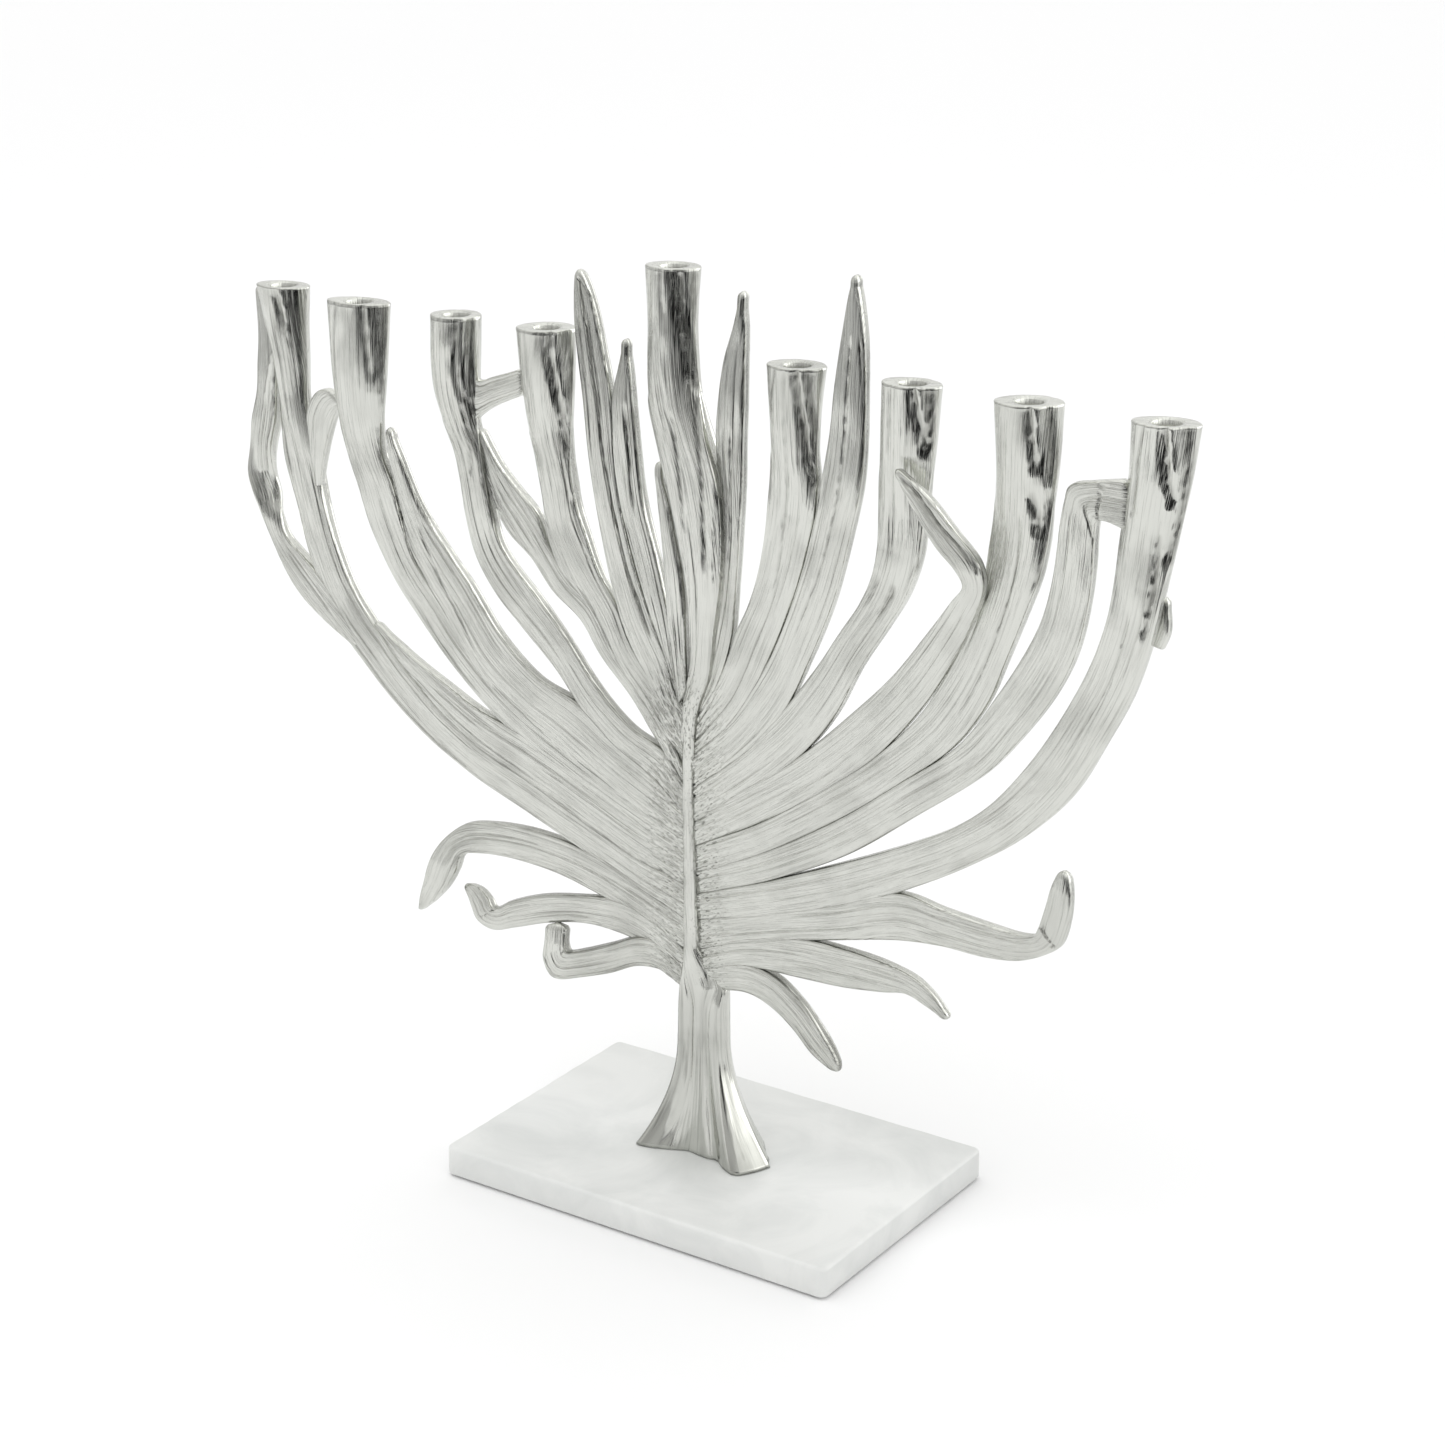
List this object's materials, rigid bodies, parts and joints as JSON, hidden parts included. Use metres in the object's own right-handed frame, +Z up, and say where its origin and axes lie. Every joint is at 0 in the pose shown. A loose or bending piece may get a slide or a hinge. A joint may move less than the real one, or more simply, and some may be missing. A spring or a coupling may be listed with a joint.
{
  "type": "menorah",
  "caption": "Tree-shaped menorah: candle cups on curving cast metal branches with curling blades, rising from a flared trunk on a rectangular marble base.",
  "frame": {"origin": "centre of the felt's underside, where the base rests", "axes": "+X along the base's long side, left to right as seen from the front; -Y towards the viewer; +Z up"},
  "size_m": [0.4226, 0.1174, 0.3704],
  "materials": {
    "nickel_plated_metal": "satin nickel plate over a textured casting",
    "white_marble": "honed white marble with faint grey clouds",
    "dark_felt": "pressed felt",
    "steel_fixing": "plain zinc-plated steel"
  },
  "bodies": {
    "root": {"base_screw_left": "steel_fixing", "base_screw_right": "steel_fixing", "base_washer_left": "steel_fixing", "base_washer_right": "steel_fixing", "blade_1_2": "nickel_plated_metal", "blade_2_3": "nickel_plated_metal", "blade_3_4": "nickel_plated_metal", "blade_4_5_short": "nickel_plated_metal", "blade_4_5_tall": "nickel_plated_metal", "blade_5_6": "nickel_plated_metal", "blade_6_7": "nickel_plated_metal", "blade_7_8": "nickel_plated_metal", "blade_8_9": "nickel_plated_metal", "blade_front": "nickel_plated_metal", "branch_1": "nickel_plated_metal", "branch_2": "nickel_plated_metal", "branch_3": "nickel_plated_metal", "branch_4": "nickel_plated_metal", "branch_5_shamash": "nickel_plated_metal", "branch_6": "nickel_plated_metal", "branch_7": "nickel_plated_metal", "branch_8": "nickel_plated_metal", "branch_9": "nickel_plated_metal", "droop_left_lower": "nickel_plated_metal", "droop_left_middle": "nickel_plated_metal", "droop_left_upper": "nickel_plated_metal", "droop_right_lower": "nickel_plated_metal", "droop_right_middle": "nickel_plated_metal", "droop_right_upper": "nickel_plated_metal", "felt_pad": "dark_felt", "leaf_1_2": "nickel_plated_metal", "leaf_3_4": "nickel_plated_metal", "marble_base": "white_marble", "outer_fold_left": "nickel_plated_metal", "spur_9": "nickel_plated_metal", "trunk": "nickel_plated_metal"}
  },
  "joints": []
}
